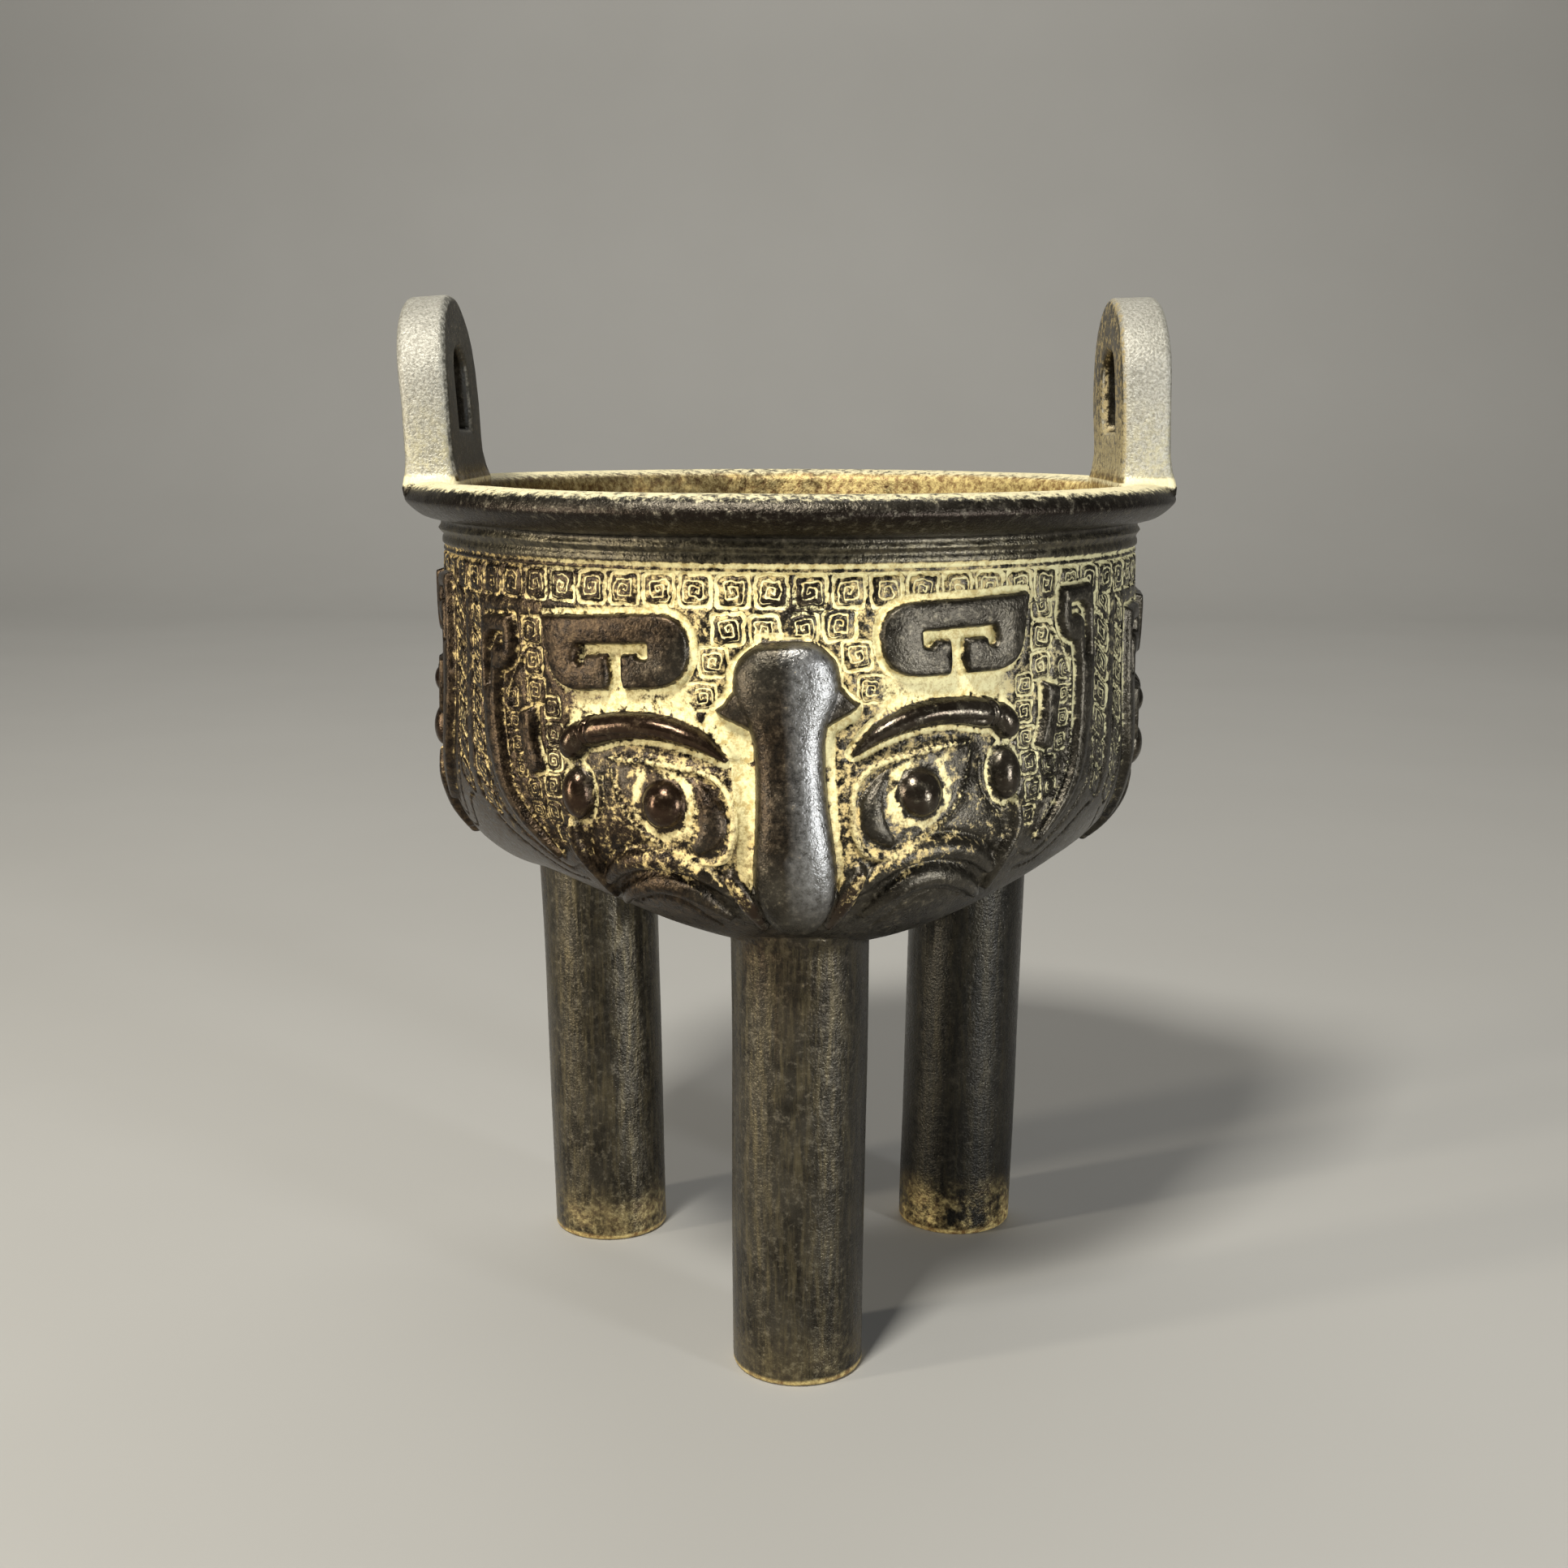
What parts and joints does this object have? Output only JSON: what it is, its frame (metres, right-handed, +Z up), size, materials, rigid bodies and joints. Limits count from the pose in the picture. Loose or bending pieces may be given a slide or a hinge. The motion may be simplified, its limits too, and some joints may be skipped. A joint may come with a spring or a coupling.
{
  "type": "bronze tripod incense burner",
  "caption": "Bronze tripod incense burner: lobed round bowl with animal masks in relief, a rolled lip, upright loop handles and straight round legs.",
  "frame": {"origin": "on the floor, under the middle of the bowl", "axes": "+Z up the middle of the bowl; the handles stand on X, and -Y is the front, over one mask and its leg; the legs stand turned from it by 2.6 degrees"},
  "size_m": [0.135, 0.135, 0.1797],
  "materials": {
    "bronze": "dark patinated cast bronze, with pale yellow earth rubbed into the ground of the relief"
  },
  "bodies": {
    "root": {"incense_burner": "bronze"}
  },
  "joints": []
}
